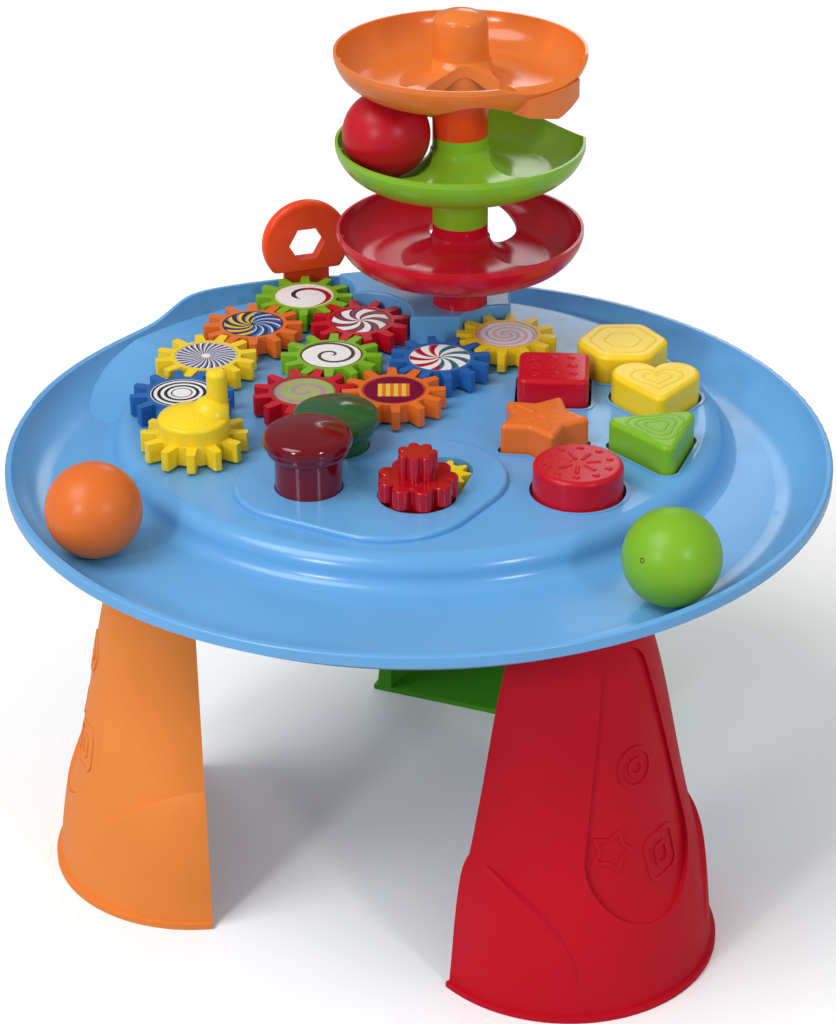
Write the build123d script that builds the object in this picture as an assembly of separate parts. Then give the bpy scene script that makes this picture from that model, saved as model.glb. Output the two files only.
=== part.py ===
from build123d import *
import math
import os

# Activity table: a round tray on three half-cone legs, with a ball tower, a train of eleven gears,
# six shape blocks, two see-saw pegs, a knob with its small gear, a spanner and three balls.
# Frame: millimetres, +Z up, origin on the floor under the middle of the whole outline,
# +Y towards the ball tower's side, which is the far side for the child.
# Sizes below are measured from the centre of the tray's round rim; save() moves all to the frame.

# Driving sizes of the tray
RIM_R = 270.0
RIM_Z = 302.0
LIP_DEPTH = 7.5
LIP_WALL = 2.5
BEAD_STEP = 0.2
TRACK_Z = RIM_Z - 21.0
WALL_FOOT_R = RIM_R - 36.0
WALL = 3.0

# Island: the round raised middle, a little behind the tray's centre
ISLAND_Y = 48.0
ISLAND_TOP_R = 192.0
ISLAND_Z = RIM_Z - 1.0
SHOULDER_R = 12.0
FOOT_R = 10.0

# Back of the tray: the track ends in a ramp and the rim rises in a wave behind the gears
WAVE_RISE = 13.8
BACK_START_DEG = 76.0
BACK_END_DEG = 139.0
BACK_SWEEP_DEG = 90.0
RAMP_END_DEG = 160.0
SHELF_Z = 322.0
SHELF_R = 244.0
SHELF_FRONT_Y = 158.0
SHELF_LEFT_X = -62.0
SHELF_RIGHT_X = 66.0
SHELF_EDGE = 2.0

# Gears
TEETH = 12
GEAR_SPACING = 60.0
GEAR_ADDENDUM = 5.0
GEAR_ROOT_GAP = 0.8
TOOTH_HALF_PITCH = 3.2
TOOTH_HALF_TIP = 2.8
TOOTH_TIP_ROUND = 1.4
GEAR_LIFT = 2.0
GEAR_THICK = 13.0
GEAR_HUB_R = 10.0
POST_R = 6.0
RUNNING_GAP = 0.05
SEAT_GAP = 0.3
DISC_R = 21.3
DISC_THICK = 1.0
DISC_SINK = 0.3
GEAR_START = (-146.4, -8.0)
GEAR_NAMES = (
    "gear_crank",
    "gear_blue_left",
    "gear_yellow_left",
    "gear_orange_back",
    "gear_green_back",
    "gear_red_back",
    "gear_green_mid",
    "gear_red_mid",
    "gear_orange_mid",
    "gear_blue_right",
    "gear_yellow_right",
)
# Direction from each gear's centre to the next one's
GEAR_BEARINGS = (101.9, 78.1, 60.4, 54.6, -46.9, -108.3, -106.2, 1.1, 58.5, 38.4)

# Crank handle on the first gear
CRANK_R = 23.6
CRANK_SIDE = 9.0
CRANK_HEIGHT = 18.0
CRANK_TURN_DEG = 18.0
FINGER_R = 6.8
FINGER_ROOT_R = 14.5
FINGER_HEIGHT = 42.0

# Raised pad at the front
PAD_RISE = 4.0
PAD_EDGE = 2.5
PAD_CIRCLES = ((-72.0, -62.0, 46.0), (-20.0, -75.0, 59.0), (4.0, -50.0, 53.0), (-52.0, -8.0, 30.0))
GEAR_KEEP_OUT = 1.4

# See-saw pegs
PEG_RED_XY = (-70.0, -64.0)
PEG_GREEN_XY = (-54.0, -6.0)
PEG_CAP_R = 28.5
PEG_STEM_R = 21.5
PEG_GUIDE_GAP = 0.6
PEG_TRAVEL = 14.0
PEG_CAP_HEIGHT = 19.0
PEG_LIP = 2.2
PEG_LIP_HEIGHT = 6.5
PEG_LIFT = 23.0
PEG_TAIL = 2.5
PEG_POST_R = 4.0
BEAM_WIDTH = 12.0
BEAM_THICK = 6.0
BEAM_OVERHANG = 5.0
BEAM_PIVOT_Z = 274.0
BEAM_HUB_R = 5.4
PIN_R = 2.5

# Knob and its small gear
KNOB_XY = (-1.0, -77.0)
KNOB_GEAR_DEG = 62.8
KNOB_LOBES = 9
KNOB_R = 26.0
KNOB_LOBE_R = 6.2
KNOB_BASE_HEIGHT = 13.0
KNOB_TOP_R = 13.0
KNOB_TOP_LOBE_R = 3.6
KNOB_TOP_HEIGHT = 17.0
KNOB_LIFT = 1.0
KNOB_TEETH = 13
KNOB_GEAR_TEETH = 9
SMALL_MODULE = 3.4
SMALL_ADDENDUM = 2.3
SMALL_TOOTH_HALF_PITCH = 2.2
SMALL_TOOTH_HALF_TIP = 1.4
SMALL_TIP_ROUND = 0.7
SMALL_THICK = 7.0
RECESS_DEPTH = 9.0
RECESS_GAP = 1.2
SMALL_POST_R = 4.0

# Shape blocks: centre, size and turn of each
BLOCK_RISE = 20.0
BLOCK_HEIGHT = 37.8
BLOCK_GAP = 2.0
BLOCK_EDGE = 3.2
HOLE_LIP = 2.2
HOLE_LIP_RISE = 0.7
BLOCK_FLOOR_GAP = 0.2
HEX_XY = (141.5, 120.0)
HEX_R = 33.0
SQUARE_XY = (92.0, 78.5)
SQUARE_SIDE = 48.0
SQUARE_TURN_DEG = -4.0
HEART_XY = (160.5, 57.0)
HEART_LOBE_R = 16.5
HEART_DROP = 33.0
STAR_XY = (80.8, 3.8)
STAR_R = 33.0
STAR_INNER_R = 19.5
STAR_TURN_DEG = -8.0
TRIANGLE_XY = (155.0, -13.0)
TRIANGLE_R = 38.0
TRIANGLE_TURN_DEG = 40.0
CIRCLE_XY = (101.0, -65.4)
CIRCLE_R = 29.0
CORNER_R = 6.0
BOX_WALL = 2.0
BOX_FEET = ((94.0, 40.0), (120.0, 20.0), (92.0, -40.0))

# Ball tower
TOWER_XY = (30.0, 186.0)
DISH_SPACING = 65.0
RED_DISH_RIM_Z = 379.0
DISH_R = 87.0
DISH_LIP = 2.0
DISH_DEPTH = 23.0
DISH_WALL = 2.5
TRUMPET_R = 22.5
STEM_R = 19.5
STEM_WALL = 2.5
STEM_TOP = 4.0
SPIGOT_HEIGHT = 8.0
SPIGOT_GAP = 0.3
SPIGOT_WALL = 2.7
DROP_R = 31.5
DROP_REACH = 52.0
DIP_DEPTH = 10.0
DIP_HALF_DEG = 34.0
BEAK_HALF_WIDTH = 27.0
BEAK_TIP_Z = -31.0
DIP_DEGREES = {"dish_red": 100.0, "dish_green": 35.0, "dish_orange": 319.0}
DROP_DEGREES = {"dish_red": 79.0, "dish_green": 110.0, "dish_orange": 276.0}
BASIN_R = 31.5
BASIN_REACH = 52.0
BASIN_DEGREES = (190.6, 350.0)
SADDLE_Z = -13.0
CAP_TOP = 24.0
CAP_DOME = 4.5
CAP_EDGE = 1.6
CAP_R = 18.4

# Balls
BALL_R = 30.5
TRACK_BALL_R = WALL_FOOT_R - 5.0
ORANGE_BALL_DEG = 208.0
GREEN_BALL_DEG = 311.5
ROLL_GAP = 0.2

# Spanner
SPANNER_DEG = 108.0
SPANNER_R = RIM_R - 4.4
SPANNER_HEAD_Z = 340.0
SPANNER_HEAD_R = 32.5
SPANNER_HEX_R = 13.5
SPANNER_THICK = 10.0
SPANNER_EDGE = 3.5
SPANNER_FOOT_Z = 320.0
SPANNER_FOOT_WIDTH = 42.0
SPANNER_TONGUE_THICK = 3.6
SPANNER_TONGUE_WIDTH = 34.0
SPANNER_BOTTOM_Z = 297.0
SLOT_GAP = 0.3
SLOT_WALL = 1.2
SLOT_TOP_Z = 308.0

# Legs
LEG_DEG = {"leg_orange": 187.9, "leg_red": 307.9, "leg_green": 67.9}
LEG_APOTHEM = 155.0
LEG_WALL = 3.0
LEG_TOP_Z = 252.0
# Radius and height down each leg: the outside, the raised skirt at the foot and the scooped face
LEG_PROFILE = (
    (98.0, 4.0),
    (95.0, 30.0),
    (90.0, 60.0),
    (81.5, 97.0),
    (71.0, 145.0),
    (60.0, 200.0),
    (45.0, 252.0),
)
SKIRT_PROFILE = (
    (98.0, 4.0),
    (95.5, 30.0),
    (92.5, 60.0),
    (89.0, 82.0),
    (86.0, 91.0),
    (80.5, 97.5),
)
SCOOP_PROFILE = (
    (96.0, 48.0),
    (83.5, 72.0),
    (80.2, 84.0),
    (77.5, 97.0),
    (68.5, 145.0),
    (57.5, 200.0),
    (42.5, 252.0),
)
INSIDE_PROFILE = (
    (87.0, 4.0),
    (84.0, 40.0),
    (80.0, 62.0),
    (74.5, 97.0),
    (65.5, 145.0),
    (54.5, 200.0),
    (39.5, 252.0),
)
SKIRT_ARCH_R = 78.0
SKIRT_ARCH_Z = 19.5
SCOOP_LOW = (102.0, 43.0)
SCOOP_HIGH = (222.0, 19.0)
RELIEF = 1.0
FOOT_FLANGE_R = 101.0
FOOT_THICK = 4.0
LEG_SCREW_REACH = 14.0

# Underside cover
COVER_FLAT_R = 170.0
COVER_TOP_R = 236.0
COVER_WALL = 3.0
SCREW_XY = ((-100.0, 78.0), (-122.0, -78.0), (22.0, -128.0), (22.0, 28.0), (-4.0, 146.0), (74.0, -112.0))
SCREW_POST_R = 5.0
SCREW_R = 1.6
SCREW_GAP = 0.05
SCREW_HEAD_R = 3.4
SCREW_HEAD = 2.2
SCREW_LENGTH = 16.0


def polar(radius, degrees):
    angle = math.radians(degrees)
    return (radius * math.cos(angle), radius * math.sin(angle))


def at(xy, z=0.0, turn=0.0):
    return Location((xy[0], xy[1], z), (0, 0, turn))


def disc(xy, radius, z0, z1):
    return extrude(at(xy, z0) * Circle(radius), z1 - z0)


def turned(wires, degrees=360.0, start=0.0):
    """Revolve a closed outline drawn with x as the radius and z as the height."""
    outline = Plane.XZ * make_face(wires)
    return revolve(Rot(0, 0, start) * outline, Axis.Z, degrees)


# Where the gears stand, and how each is turned to mesh with the one before it

PITCH_R = GEAR_SPACING / 2
GEAR_BOTTOM = ISLAND_Z + GEAR_LIFT
GEAR_TOP = GEAR_BOTTOM + GEAR_THICK
GEAR_TIP_R = PITCH_R + GEAR_ADDENDUM


def gear_train():
    half_pitch_deg = 180.0 / TEETH
    places = [(GEAR_START, 0.0)]
    for bearing in GEAR_BEARINGS:
        (x, y), turn = places[-1]
        dx, dy = polar(GEAR_SPACING, bearing)
        places.append(((x + dx, y + dy), 2 * bearing + 180.0 - half_pitch_deg - turn))
    return places


GEAR_PLACES = gear_train()


def tooth_ring(teeth, pitch_r, addendum, root_gap, half_pitch, half_tip, tip_round):
    """Outline of a toy gear: straight-sided teeth with rounded tips round a disc."""
    tip_r = pitch_r + addendum
    root_r = pitch_r - addendum - root_gap
    slope = (half_pitch - half_tip) / addendum
    half_root = half_pitch + slope * (addendum + root_gap)
    inner = root_r - addendum / 2
    tooth = Polygon(
        (inner, -half_root),
        (tip_r, -half_tip),
        (tip_r, half_tip),
        (inner, half_root),
        align=None,
    )
    tips = [v for v in tooth.vertices() if v.X > pitch_r]
    tooth = fillet(tips, tip_round)
    ring = Circle(root_r)
    for step in range(teeth):
        ring += Rot(0, 0, step * 360.0 / teeth) * tooth
    return ring


def big_gear_outline():
    return tooth_ring(
        TEETH,
        PITCH_R,
        GEAR_ADDENDUM,
        GEAR_ROOT_GAP,
        TOOTH_HALF_PITCH,
        TOOTH_HALF_TIP,
        TOOTH_TIP_ROUND,
    )


def big_gear(with_disc):
    body = extrude(Pos(0, 0, GEAR_BOTTOM) * big_gear_outline(), GEAR_THICK)
    body += disc((0, 0), GEAR_HUB_R, ISLAND_Z + SEAT_GAP, GEAR_BOTTOM)
    body -= disc((0, 0), POST_R + RUNNING_GAP, ISLAND_Z, POST_TOP + SEAT_GAP)
    if with_disc:
        body -= disc((0, 0), DISC_R + SEAT_GAP, DISC_Z, GEAR_TOP + 1)
    return body


DISC_Z = GEAR_TOP - DISC_THICK - DISC_SINK
POST_TOP = DISC_Z - 2.0


# Outlines of the shape blocks, each drawn about its own centre


def rounded(sketch, radius):
    return fillet(sketch.vertices(), radius)


def hexagon_outline():
    return rounded(RegularPolygon(HEX_R, 6), 2 * CORNER_R)


def square_outline():
    return Rot(0, 0, SQUARE_TURN_DEG) * rounded(Rectangle(SQUARE_SIDE, SQUARE_SIDE), CORNER_R)


def heart_outline():
    """Two round lobes joined to a blunt point at the front."""
    r = HEART_LOBE_R
    lobe_x = r * 0.8
    lobe_y = r * 0.72
    point = (0.0, -HEART_DROP)
    reach = math.hypot(lobe_x, lobe_y + HEART_DROP)
    lean = math.degrees(math.atan2(lobe_y + HEART_DROP, lobe_x))
    tangent = math.degrees(math.acos(r / reach))
    touch_x, touch_y = polar(r, 180.0 + lean + tangent)
    side = Polygon(
        (-lobe_x, lobe_y),
        (-lobe_x - touch_x, lobe_y + touch_y),
        point,
        (lobe_x + touch_x, lobe_y + touch_y),
        (lobe_x, lobe_y),
        align=None,
    )
    shape = side + Pos(lobe_x, lobe_y) * Circle(r) + Pos(-lobe_x, lobe_y) * Circle(r)
    tip = shape.vertices().sort_by(Axis.Y)[0]
    return fillet(tip, CORNER_R)


def star_outline():
    points = []
    for step in range(10):
        radius = STAR_R if step % 2 == 0 else STAR_INNER_R
        points.append(polar(radius, STAR_TURN_DEG + 36.0 * step))
    star = Polygon(*points, align=None)
    return rounded(star, CORNER_R / 2)


def triangle_outline():
    return Rot(0, 0, TRIANGLE_TURN_DEG) * rounded(RegularPolygon(TRIANGLE_R, 3), CORNER_R)


BLOCKS = {
    "block_hexagon_yellow": (HEX_XY, hexagon_outline),
    "block_square_red": (SQUARE_XY, square_outline),
    "block_heart_yellow": (HEART_XY, heart_outline),
    "block_star_orange": (STAR_XY, star_outline),
    "block_triangle_green": (TRIANGLE_XY, triangle_outline),
    "block_circle_red": (CIRCLE_XY, lambda: Circle(CIRCLE_R)),
}
BLOCK_BOTTOM = ISLAND_Z + BLOCK_RISE - BLOCK_HEIGHT
BOX_FLOOR_Z = BLOCK_BOTTOM - BLOCK_FLOOR_GAP


def block(outline):
    body = extrude(Pos(0, 0, BLOCK_BOTTOM) * outline(), BLOCK_HEIGHT)
    top = body.edges().filter_by_position(Axis.Z, BLOCK_BOTTOM + BLOCK_HEIGHT - 0.1, 1e6)
    return fillet(top, BLOCK_EDGE)


# Tray


def wall_arc_radius(run, rise):
    return (run * run + rise * rise) / (2 * rise)


def pan():
    """Track floor, concave outer wall and the rolled lip, all round."""
    wall_top_r = RIM_R - 4.0
    radius = wall_arc_radius(wall_top_r - WALL_FOOT_R, RIM_Z - TRACK_Z)
    centre_z = TRACK_Z + radius
    lip_in = RIM_R - LIP_WALL
    under_z = centre_z - math.sqrt((radius + WALL) ** 2 - (lip_in - WALL_FOOT_R) ** 2)
    inner_r = ISLAND_TOP_R - ISLAND_Y - 6.0
    bead = 1.5
    wires = [
        Line((inner_r, TRACK_Z), (WALL_FOOT_R, TRACK_Z)),
        RadiusArc((WALL_FOOT_R, TRACK_Z), (wall_top_r, RIM_Z), -radius),
        Line((wall_top_r, RIM_Z), (RIM_R - bead, RIM_Z)),
        RadiusArc((RIM_R - bead, RIM_Z), (RIM_R, RIM_Z - bead), bead),
        Line((RIM_R, RIM_Z - bead), (RIM_R, RIM_Z - LIP_DEPTH)),
        Line((RIM_R, RIM_Z - LIP_DEPTH), (lip_in, RIM_Z - LIP_DEPTH)),
        Line((lip_in, RIM_Z - LIP_DEPTH), (lip_in, under_z)),
        RadiusArc((lip_in, under_z), (WALL_FOOT_R, TRACK_Z - WALL), radius + WALL),
        Line((WALL_FOOT_R, TRACK_Z - WALL), (inner_r, TRACK_Z - WALL)),
        Line((inner_r, TRACK_Z - WALL), (inner_r, TRACK_Z)),
    ]
    return turned(wires)


def island_form(shrink, base):
    """Solid island with an S-shaped side; shrink moves its surface inwards."""
    drop = ISLAND_Z - TRACK_Z
    lean = math.acos(1 - drop / (SHOULDER_R + FOOT_R))
    top_r = ISLAND_TOP_R - shrink
    top_z = ISLAND_Z - shrink
    mid_r = top_r + SHOULDER_R * math.sin(lean)
    mid_z = top_z - SHOULDER_R * (1 - math.cos(lean))
    foot_r = mid_r + FOOT_R * math.sin(lean)
    foot_z = top_z - drop
    wires = [
        Line((0, base), (0, top_z)),
        Line((0, top_z), (top_r, top_z)),
        RadiusArc((top_r, top_z), (mid_r, mid_z), SHOULDER_R),
        RadiusArc((mid_r, mid_z), (foot_r, foot_z), -FOOT_R),
        Line((foot_r, foot_z), (foot_r, base)),
        Line((foot_r, base), (0, base)),
    ]
    return Pos(0, ISLAND_Y, 0) * turned(wires)


def back_sector(wires, inset):
    """Revolve an outline along the back; inset keeps its ends clear of the outer form's ends."""
    return turned(wires, BACK_SWEEP_DEG - 2 * inset, BACK_START_DEG + inset)


def ground_form(lower, base, inset):
    """Raised ground behind the gears as a solid; lower drops its top for the hollow under it."""
    top = ISLAND_Z - lower
    inner = RIM_R - 150.0
    outer = RIM_R - 8.0
    outline = [(inner, base), (inner, top), (outer, top), (outer, base)]
    return back_sector(Polyline(*outline, close=True), inset)


def wall_form(grow, base, inset):
    """Raised wall round the back as a solid out to the rim; grow moves its face outwards."""
    top = RIM_Z + WAVE_RISE + 10.0
    low = (WALL_FOOT_R + 24.0 + grow, TRACK_Z + 9.4)
    mid = (RIM_R - 4.8 + grow, ISLAND_Z)
    high = (RIM_R - 2.8 + grow, top)
    wires = [
        Spline(low, mid, high, tangents=((0.7, 0.7), (0.05, 1.0))),
        Line(high, (RIM_R + grow, top)),
        Line((RIM_R + grow, top), (RIM_R + grow, base)),
        Line((RIM_R + grow, base), (low[0], base)),
        Line((low[0], base), low),
    ]
    return back_sector(wires, inset)


def radial_plane(degrees):
    """Upright plane through the middle of the table, facing outwards at this angle."""
    return Plane(origin=(0, 0, 0), x_dir=(*polar(1.0, degrees + 90.0), 0), z_dir=(*polar(1.0, degrees), 0))


def ramp_cutter(lower):
    """Space above the ramp that leads from the gears' ground down to the track."""
    half = WALL_FOOT_R * math.sin(math.radians(RAMP_END_DEG - BACK_END_DEG) / 2)
    top = ISLAND_Z - lower
    slope = (ISLAND_Z - TRACK_Z) / (2 * half)
    far = 3 * half
    profile = [(-half, top), (far, top - slope * (far + half)), (far, RIM_Z + 20.0), (-half, RIM_Z + 20.0)]
    plane = radial_plane((BACK_END_DEG + RAMP_END_DEG) / 2)
    return extrude(plane * make_face(Polyline(*profile, close=True)), 400.0)


def wave_cutter():
    """Everything above the rim's wave, drawn along the chord behind the gears."""
    outward = (BACK_START_DEG + RAMP_END_DEG) / 2
    # Height of the rim above its usual level at angles round the rim
    left_flank = ((166.0, 0.0), (150.0, 0.0), (141.0, 0.0), (137.0, 0.6), (134.0, 2.6), (131.3, 7.4))
    right_flank = ((121.0, 12.7), (112.0, 9.8), (100.0, 5.6), (88.0, 1.6), (76.0, 0.0), (66.0, 0.0))
    points = []
    for degrees, rise in (*left_flank, (128.2, WAVE_RISE - 1.0), (125.0, WAVE_RISE), *right_flank):
        along = RIM_R * math.sin(math.radians(degrees - outward))
        points.append((along, RIM_Z + rise))
    points.reverse()
    top = RIM_Z + 80.0
    left = points[0]
    right = points[-1]
    wires = [
        Spline(*points),
        Line(right, (right[0], top)),
        Line((right[0], top), (left[0], top)),
        Line((left[0], top), left),
    ]
    return extrude(radial_plane(outward) * make_face(wires), 400.0)


def raised_back():
    """Ground, ramp and waved wall behind the gears, and the hollow under them."""
    base = TRACK_Z - WALL / 2
    ground = ground_form(0.0, base, 0.0) - ramp_cutter(0.0)
    wall = wall_form(0.0, TRACK_Z + 2 * WALL, 0.0) - wave_cutter()
    skirt = disc((0, 0), RIM_R + 1.0, base, RIM_Z - LIP_DEPTH)
    skirt -= disc((0, 0), RIM_R - LIP_WALL, base, RIM_Z - LIP_DEPTH)
    low = TRACK_Z - 3 * WALL
    end = math.degrees(WALL / RIM_R)
    hollow = (ground_form(WALL, low, end) - ramp_cutter(WALL)) + wall_form(WALL, low, end)
    hollow &= disc((0, 0), RIM_R - LIP_WALL - BEAD_STEP, low - 1.0, ISLAND_Z + 10.0)
    return ground, wall - skirt, hollow


def beside_gears(outline, gap):
    """Scallop an outline round every gear that it comes near."""
    for xy, _ in GEAR_PLACES:
        outline -= at(xy) * Circle(GEAR_TIP_R + gap)
    return outline


def shelf_outline(shrink):
    length = SHELF_RIGHT_X - SHELF_LEFT_X - 2 * shrink
    depth = SHELF_R - SHELF_FRONT_Y
    middle = ((SHELF_RIGHT_X + SHELF_LEFT_X) / 2, SHELF_FRONT_Y + shrink + depth / 2)
    outline = at(middle) * Rectangle(length, depth)
    outline &= Circle(SHELF_R - shrink)
    outline = beside_gears(outline, GEAR_KEEP_OUT + shrink)
    return outline.faces().sort_by(SortBy.AREA)[-1]


def shelf():
    """Raised shelf under the ball tower, scalloped round the gears beside it, and its hollow."""
    outer = extrude(Pos(0, 0, ISLAND_Z - WALL / 2) * shelf_outline(0.0), SHELF_Z - ISLAND_Z + WALL / 2)
    top = outer.edges().filter_by_position(Axis.Z, SHELF_Z - 0.1, SHELF_Z + 0.1)
    outer = fillet(top, SHELF_EDGE)
    base = ISLAND_Z - 2 * WALL
    hollow = extrude(Pos(0, 0, base) * shelf_outline(WALL), SHELF_Z - WALL - base)
    return outer, hollow


def pad_outline():
    edges = ShapeList()
    for x, y, radius in PAD_CIRCLES:
        edges += (Pos(x, y) * Circle(radius)).edges()
    return beside_gears(make_hull(edges), GEAR_KEEP_OUT)


def recess_outline(grow):
    edges = ShapeList()
    for (x, y), pitch_r in ((KNOB_XY, KNOB_PITCH_R), (KNOB_GEAR_XY, KNOB_GEAR_PITCH_R)):
        edges += (Pos(x, y) * Circle(pitch_r + SMALL_ADDENDUM + RECESS_GAP + grow)).edges()
    return make_hull(edges)


PAD_Z = ISLAND_Z + PAD_RISE
KNOB_PITCH_R = SMALL_MODULE * KNOB_TEETH / 2
KNOB_GEAR_PITCH_R = SMALL_MODULE * KNOB_GEAR_TEETH / 2
KNOB_GEAR_XY = (
    KNOB_XY[0] + (KNOB_PITCH_R + KNOB_GEAR_PITCH_R) * math.cos(math.radians(KNOB_GEAR_DEG)),
    KNOB_XY[1] + (KNOB_PITCH_R + KNOB_GEAR_PITCH_R) * math.sin(math.radians(KNOB_GEAR_DEG)),
)
RECESS_Z = PAD_Z - RECESS_DEPTH
COVER_TOP_Z = TRACK_Z - WALL - SEAT_GAP
COVER_Z = LEG_TOP_Z
COVER_INSIDE_Z = COVER_Z + COVER_WALL


def spigot(height):
    """Short tube that the next stem plugs onto."""
    outer = STEM_R - STEM_WALL - SPIGOT_GAP
    return disc((0, 0), outer, 0.0, height) - disc((0, 0), outer - SPIGOT_WALL, 0.0, height)


def spanner_location():
    x, y = polar(SPANNER_R, SPANNER_DEG)
    return Location((x, y, 0), (0, 0, SPANNER_DEG - 90.0))


def slot_box(grow, bottom, top):
    width = SPANNER_TONGUE_WIDTH + 2 * grow
    thick = SPANNER_TONGUE_THICK + 2 * grow
    return spanner_location() * Pos(0, 0, bottom) * extrude(Rectangle(width, thick), top - bottom)


def tray_top():
    under = TRACK_Z - WALL
    limit = disc((0, 0), RIM_R - 12.0, under, RIM_Z + 1.0)
    ground, back_wall, back_hollow = raised_back()
    shelf_outer, shelf_hollow = shelf()
    tray = pan() + (island_form(0.0, under) & limit) + ground + back_wall + shelf_outer
    island_hollow = island_form(WALL, under - 20.0)
    tray -= island_hollow & disc((0, 0), RIM_R - 20.0, under - 30.0, ISLAND_Z)
    tray -= back_hollow
    tray -= shelf_hollow
    pad = extrude(Pos(0, 0, ISLAND_Z - WALL / 2) * pad_outline(), PAD_RISE + WALL / 2)
    pad_top = pad.edges().filter_by_position(Axis.Z, PAD_Z - 0.1, PAD_Z + 0.1)
    tray += fillet(pad_top, PAD_EDGE)
    tray += extrude(Pos(0, 0, RECESS_Z - BOX_WALL) * recess_outline(BOX_WALL), PAD_Z - RECESS_Z)
    tray -= extrude(Pos(0, 0, RECESS_Z) * recess_outline(0.0), RECESS_DEPTH + 5.0)
    for xy in (KNOB_XY, KNOB_GEAR_XY):
        tray += disc(xy, SMALL_POST_R, RECESS_Z, RECESS_Z + SMALL_THICK - 2.0)
    for xy in (PEG_RED_XY, PEG_GREEN_XY):
        tray += disc(xy, PEG_STEM_R + PEG_GUIDE_GAP + WALL, ISLAND_Z - 10.0, ISLAND_Z)
        tray -= disc(xy, PEG_STEM_R + PEG_GUIDE_GAP, ISLAND_Z - 30.0, PAD_Z + 5.0)
    for xy, outline in BLOCKS.values():
        lip = offset(outline(), BLOCK_GAP + HOLE_LIP)
        tray += extrude(at(xy, ISLAND_Z - WALL / 2) * lip, WALL / 2 + HOLE_LIP_RISE)
    for xy, outline in BLOCKS.values():
        hole = offset(outline(), BLOCK_GAP)
        tray -= extrude(at(xy, ISLAND_Z - 10.0) * hole, 20.0)
    for xy, _ in GEAR_PLACES:
        tray += disc(xy, POST_R, ISLAND_Z - WALL / 2, POST_TOP)
    for xy in SCREW_XY:
        tray += disc(xy, SCREW_POST_R, COVER_INSIDE_Z + SEAT_GAP, ISLAND_Z - 1.0)
        tray -= disc(xy, SCREW_R + SCREW_GAP, COVER_INSIDE_Z - 1.0, COVER_INSIDE_Z + SCREW_LENGTH + 1.0)
    tray += slot_box(SLOT_GAP + SLOT_WALL, SPANNER_BOTTOM_Z - SEAT_GAP - SLOT_WALL, SLOT_TOP_Z)
    tray -= slot_box(SLOT_GAP, SPANNER_BOTTOM_Z - SEAT_GAP, RIM_Z + 60.0)
    tray += at(TOWER_XY, SHELF_Z - 1.0) * spigot(SPIGOT_HEIGHT + 1.0)
    return tray


# Legs


def leg_form(profile, bottom, grow=0.0):
    """Half-cone about the leg's own upright axis, flat side towards the table's middle."""
    points = [(r + grow, z) for r, z in profile]
    foot = (points[0][0], bottom)
    top = points[-1]
    wires = [
        Line((0, bottom), foot),
        Line(foot, points[0]),
        Spline(*points),
        Line(top, (0, top[1])),
        Line((0, top[1]), (0, bottom)),
    ]
    return turned(wires, 180.0, -90.0)


def through_face(outline):
    """Prism that runs outwards through the leg's outer face; outline is drawn as across and up."""
    return extrude(Plane.YZ * outline, 2 * FOOT_FLANGE_R)


def scoop_outline():
    edges = ShapeList()
    for height, radius in (SCOOP_LOW, SCOOP_HIGH):
        edges += (Pos(0, height) * Circle(radius)).edges()
    return make_hull(edges)


def relief_outlines():
    """Low raised outlines on the scooped face: a ring, a star and a rounded square."""
    ring = Circle(14.0) - Circle(11.0) + (Circle(6.5) - Circle(3.5))
    star = scale(star_outline(), 0.48) - scale(star_outline(), 0.34)
    square = rounded(Rectangle(29.0, 33.0), 8.0) - rounded(Rectangle(23.0, 27.0), 5.5)
    square += rounded(Rectangle(13.0, 16.0), 4.0) - rounded(Rectangle(7.0, 10.0), 2.0)
    return [Pos(-1.0, 163.0) * ring, Pos(-24.0, 112.0) * star, Pos(14.0, 98.0) * Rot(0, 0, 8.0) * square]


def leg():
    """Shell open to the middle, with a closed top, a skirt, a scooped face and a sole that stands out."""
    inside = leg_form(INSIDE_PROFILE, -1.0) & Pos(0, 0, -1.0 - LEG_WALL) * Box(
        400, 400, LEG_TOP_Z + 1.0, align=(Align.CENTER, Align.CENTER, Align.MIN)
    )
    shell = leg_form(LEG_PROFILE, 0.0)
    arch = Pos(0, 0, SKIRT_ARCH_Z) * Rot(90, 0, 0) * Cylinder(SKIRT_ARCH_R, 4 * FOOT_FLANGE_R)
    skirt = leg_form(SKIRT_PROFILE, 0.0) & arch
    shell += skirt
    floor = leg_form(SCOOP_PROFILE, -5.0)
    shell -= through_face(scoop_outline()) - floor
    raised = leg_form(SCOOP_PROFILE, -5.0, RELIEF)
    for outline in relief_outlines():
        shell += through_face(outline) & raised
    shell -= inside
    sole = disc((0, 0), FOOT_FLANGE_R, 0.0, FOOT_THICK)
    shell += sole & Pos(FOOT_FLANGE_R, 0, 0) * Box(
        2 * FOOT_FLANGE_R, 4 * FOOT_FLANGE_R, 10 * FOOT_THICK, align=(Align.CENTER, Align.CENTER, Align.MIN)
    )
    shell -= disc((LEG_SCREW_REACH, 0), SCREW_R + SCREW_GAP, LEG_TOP_Z - 10.0, LEG_TOP_Z + 1.0)
    return shell


def leg_location(degrees):
    x, y = polar(LEG_APOTHEM, degrees)
    return Location((x, y, 0), (0, 0, degrees))


# Underside cover


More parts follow.
